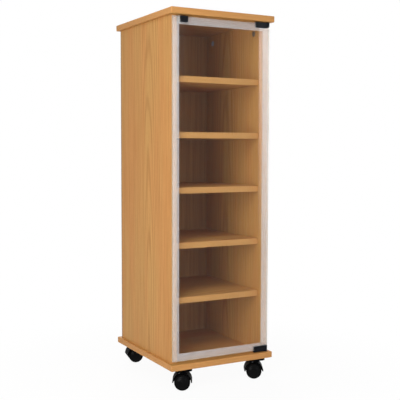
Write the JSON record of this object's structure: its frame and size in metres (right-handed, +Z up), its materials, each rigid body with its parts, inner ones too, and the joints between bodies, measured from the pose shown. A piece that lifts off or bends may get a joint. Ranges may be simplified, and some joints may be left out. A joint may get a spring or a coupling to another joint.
{
  "type": "media storage tower",
  "caption": "Tall narrow glass-fronted storage tower for discs and cassettes, with fixed shelves, a pivoting push-latch door and swivel casters.",
  "frame": {"origin": "on the floor under the middle of the tower, with the door shut and the casters as pictured", "axes": "+Z up; -Y towards the front, where the door is; +X to the right as seen from the front"},
  "size_m": [0.31, 0.3698, 0.986],
  "materials": {
    "beech": "satin beech-coloured decor on chipboard",
    "backing": "matt decor on thin hardboard",
    "glass": "clear polished",
    "frost": "frosted film",
    "black_plastic": "moulded, half matt",
    "white_plastic": "moulded, half matt",
    "black_metal": "black coated",
    "zinc": "zinc plated"
  },
  "bodies": {
    "tower": {"base_board": "beech", "top_board": "beech", "side_panel_left": "beech", "side_panel_right": "beech", "back_panel": "backing", "shelf_1": "beech", "shelf_2": "beech", "shelf_3": "beech", "shelf_4": "beech", "shelf_5": "beech", "latch_housing": "white_plastic", "latch_spring": "zinc", "hinge_bush_upper": "black_plastic", "hinge_bush_lower": "black_plastic", "cam_disc_front_left": "zinc", "cam_bolt_front_left": "zinc", "base_screw_front_left": "zinc", "caster_front_left_plate": "black_plastic", "caster_front_left_kingpin": "zinc", "cam_disc_front_right": "zinc", "cam_bolt_front_right": "zinc", "base_screw_front_right": "zinc", "caster_front_right_plate": "black_plastic", "caster_front_right_kingpin": "zinc", "cam_disc_rear_left": "zinc", "cam_bolt_rear_left": "zinc", "base_screw_rear_left": "zinc", "caster_rear_left_plate": "black_plastic", "caster_rear_left_kingpin": "zinc", "cam_disc_rear_right": "zinc", "cam_bolt_rear_right": "zinc", "base_screw_rear_right": "zinc", "caster_rear_right_plate": "black_plastic", "caster_rear_right_kingpin": "zinc"},
    "door": {"door_glass": "glass", "door_frosted_border": "frost", "hinge_shoe_upper": "black_metal", "hinge_shoe_lower": "black_metal", "hinge_pin_upper": "zinc", "hinge_pin_lower": "zinc", "strike_clip": "black_metal"},
    "latch_push_rod": {"latch_plunger": "white_plastic", "latch_magnet": "zinc"},
    "caster_front_left_swivel": {"caster_front_left_hood": "black_plastic", "caster_front_left_axle": "zinc"},
    "caster_front_left_wheel_a_body": {"caster_front_left_wheel_a": "black_plastic"},
    "caster_front_left_wheel_b_body": {"caster_front_left_wheel_b": "black_plastic"},
    "caster_front_right_swivel": {"caster_front_right_hood": "black_plastic", "caster_front_right_axle": "zinc"},
    "caster_front_right_wheel_a_body": {"caster_front_right_wheel_a": "black_plastic"},
    "caster_front_right_wheel_b_body": {"caster_front_right_wheel_b": "black_plastic"},
    "caster_rear_left_swivel": {"caster_rear_left_hood": "black_plastic", "caster_rear_left_axle": "zinc"},
    "caster_rear_left_wheel_a_body": {"caster_rear_left_wheel_a": "black_plastic"},
    "caster_rear_left_wheel_b_body": {"caster_rear_left_wheel_b": "black_plastic"},
    "caster_rear_right_swivel": {"caster_rear_right_hood": "black_plastic", "caster_rear_right_axle": "zinc"},
    "caster_rear_right_wheel_a_body": {"caster_rear_right_wheel_a": "black_plastic"},
    "caster_rear_right_wheel_b_body": {"caster_rear_right_wheel_b": "black_plastic"}
  },
  "joints": [
    {"name": "door_hinge", "type": "hinge", "parent": "tower", "child": "door", "pos_m": [0.14054, -0.1655, 0.521], "axis": [0, 0, 1], "range_deg": [0, 180]},
    {"name": "latch_push", "type": "slide", "parent": "tower", "child": "latch_push_rod", "axis": [0, 1, 0], "range_m": [0, 0.0035], "stiffness_N_per_m": 400, "springref_m": -0.008, "deforming": ["latch_spring"]},
    {"name": "caster_front_left_turn", "type": "hinge", "parent": "tower", "child": "caster_front_left_swivel", "pos_m": [-0.113, -0.154, 0.04], "axis": [0, 0, 1], "continuous": true},
    {"name": "caster_front_left_wheel_a_spin", "type": "hinge", "parent": "caster_front_left_swivel", "child": "caster_front_left_wheel_a_body", "pos_m": [-0.11124, -0.15495, 0.021], "axis": [0.4772, 0.8788, 0], "continuous": true},
    {"name": "caster_front_left_wheel_b_spin", "type": "hinge", "parent": "caster_front_left_swivel", "child": "caster_front_left_wheel_b_body", "pos_m": [-0.11124, -0.15495, 0.021], "axis": [0.4772, 0.8788, 0], "continuous": true},
    {"name": "caster_front_right_turn", "type": "hinge", "parent": "tower", "child": "caster_front_right_swivel", "pos_m": [0.113, -0.154, 0.04], "axis": [0, 0, 1], "continuous": true},
    {"name": "caster_front_right_wheel_a_spin", "type": "hinge", "parent": "caster_front_right_swivel", "child": "caster_front_right_wheel_a_body", "pos_m": [0.11124, -0.15305, 0.021], "axis": [-0.4772, -0.8788, 0], "continuous": true},
    {"name": "caster_front_right_wheel_b_spin", "type": "hinge", "parent": "caster_front_right_swivel", "child": "caster_front_right_wheel_b_body", "pos_m": [0.11124, -0.15305, 0.021], "axis": [-0.4772, -0.8788, 0], "continuous": true},
    {"name": "caster_rear_left_turn", "type": "hinge", "parent": "tower", "child": "caster_rear_left_swivel", "pos_m": [-0.113, 0.154, 0.04], "axis": [0, 0, 1], "continuous": true},
    {"name": "caster_rear_left_wheel_a_spin", "type": "hinge", "parent": "caster_rear_left_swivel", "child": "caster_rear_left_wheel_a_body", "pos_m": [-0.11104, 0.15358, 0.021], "axis": [0.2079, 0.9781, 0], "continuous": true},
    {"name": "caster_rear_left_wheel_b_spin", "type": "hinge", "parent": "caster_rear_left_swivel", "child": "caster_rear_left_wheel_b_body", "pos_m": [-0.11104, 0.15358, 0.021], "axis": [0.2079, 0.9781, 0], "continuous": true},
    {"name": "caster_rear_right_turn", "type": "hinge", "parent": "tower", "child": "caster_rear_right_swivel", "pos_m": [0.113, 0.154, 0.04], "axis": [0, 0, 1], "continuous": true},
    {"name": "caster_rear_right_wheel_a_spin", "type": "hinge", "parent": "caster_rear_right_swivel", "child": "caster_rear_right_wheel_a_body", "pos_m": [0.11124, 0.15495, 0.021], "axis": [-0.4772, -0.8788, 0], "continuous": true},
    {"name": "caster_rear_right_wheel_b_spin", "type": "hinge", "parent": "caster_rear_right_swivel", "child": "caster_rear_right_wheel_b_body", "pos_m": [0.11124, 0.15495, 0.021], "axis": [-0.4772, -0.8788, 0], "continuous": true}
  ]
}
